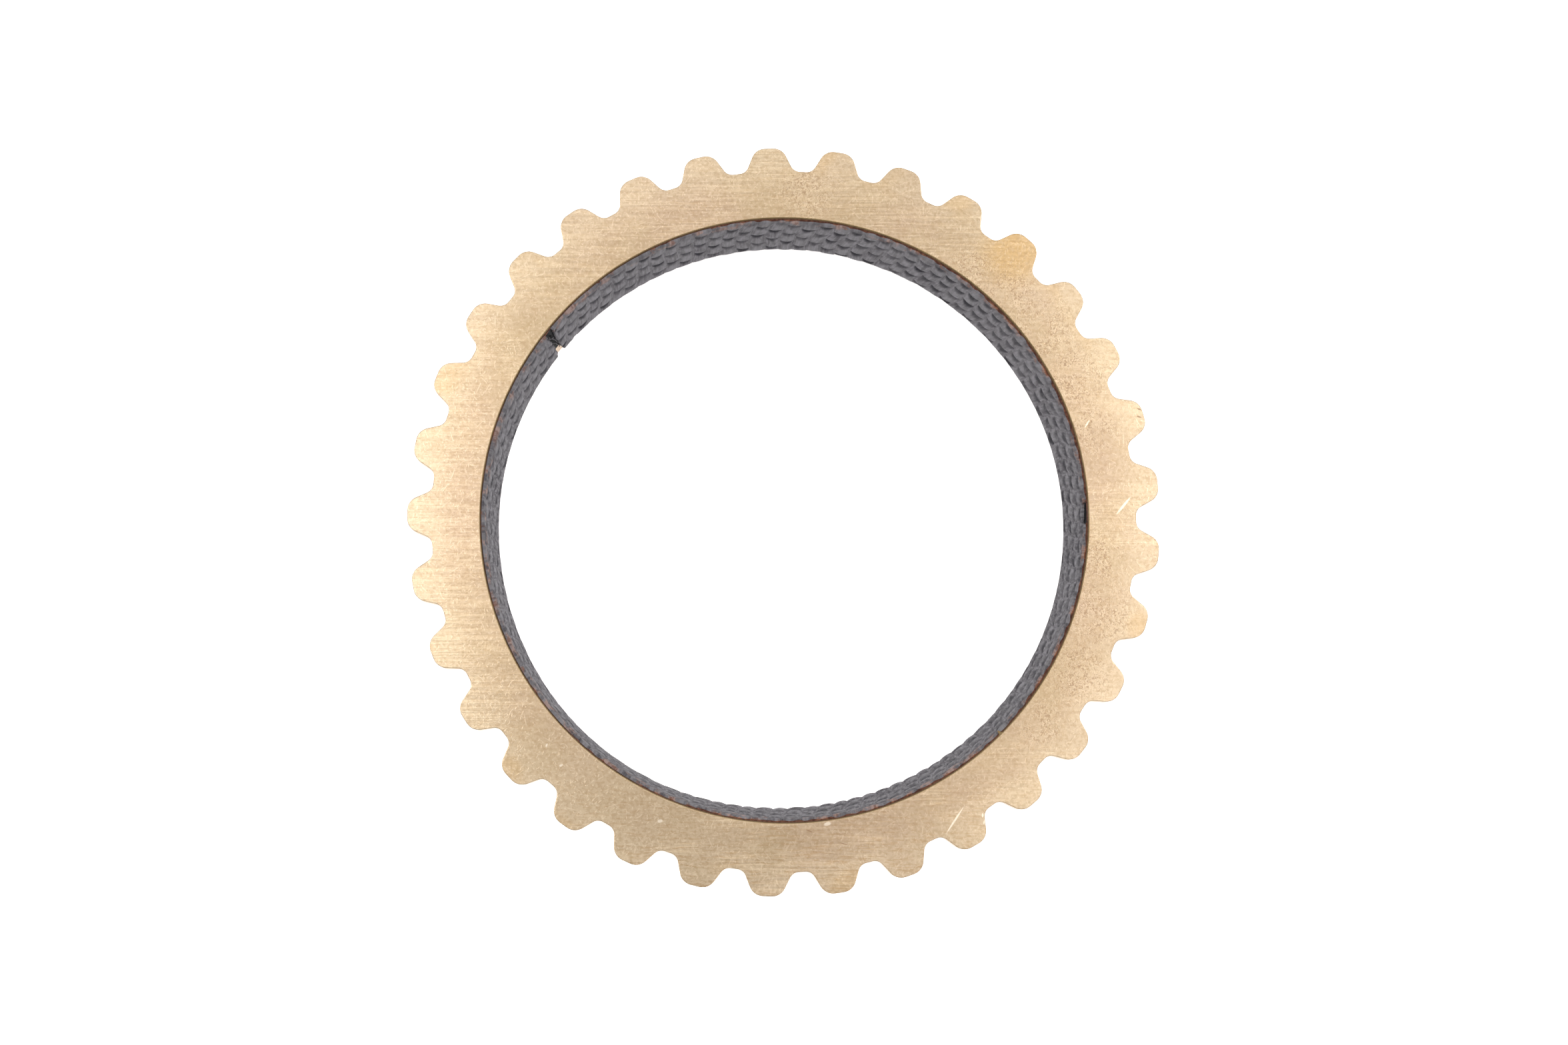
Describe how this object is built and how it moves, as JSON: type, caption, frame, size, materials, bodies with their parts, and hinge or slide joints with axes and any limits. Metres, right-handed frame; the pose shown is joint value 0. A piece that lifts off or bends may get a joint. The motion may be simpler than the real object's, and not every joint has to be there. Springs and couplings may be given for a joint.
{
  "type": "synchronizer ring",
  "caption": "Flat toothed brass synchronizer ring with a short slotted barrel and a conical bore lined with woven carbon friction cloth.",
  "frame": {"origin": "on the ring's axis, in the plane of the hub-side end face, which is its lowest face", "axes": "+Z along the ring's axis towards the toothed gear-side face; +X through the middle of one tooth and of one key slot"},
  "size_m": [0.0679, 0.068, 0.0085],
  "materials": {
    "brass": "satin, finely brushed, lightly scratched",
    "bond_resin": "dull cured resin, orange where thin",
    "woven_carbon": "matt plain weave"
  },
  "bodies": {
    "root": {"ring_body": "brass", "adhesive_film": "bond_resin", "friction_lining": "woven_carbon"}
  },
  "joints": []
}
